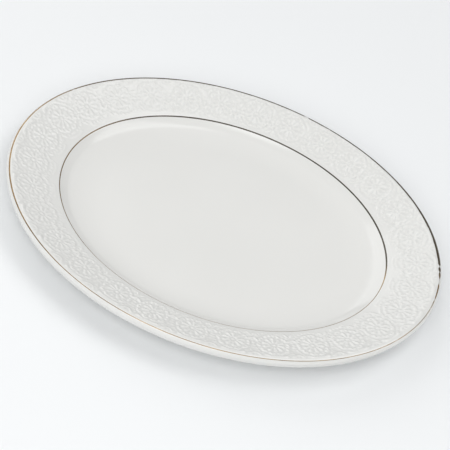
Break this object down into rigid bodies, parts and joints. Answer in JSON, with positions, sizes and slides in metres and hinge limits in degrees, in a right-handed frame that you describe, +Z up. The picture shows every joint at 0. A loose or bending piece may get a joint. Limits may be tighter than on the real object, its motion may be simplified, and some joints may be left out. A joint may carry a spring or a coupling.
{
  "type": "oval china serving platter",
  "caption": "Oval white china serving platter with an embossed floral rim, a smooth well, a foot ring and fired gold lines at the edge and verge.",
  "frame": {"origin": "centre of the oval, on the plane of the foot ring", "axes": "+X along the platter's long axis, +Z up out of the well"},
  "size_m": [0.36, 0.288, 0.0274],
  "materials": {
    "bisque": "unglazed, fine matt bisque",
    "glaze": "clear gloss glaze over white china",
    "gilding": "thin fired gold, burnished, lightly worn"
  },
  "bodies": {
    "root": {"china_body": "bisque", "upper_glaze": "glaze", "base_glaze": "glaze", "edge_gilding": "gilding", "verge_gilding": "gilding"}
  },
  "joints": []
}
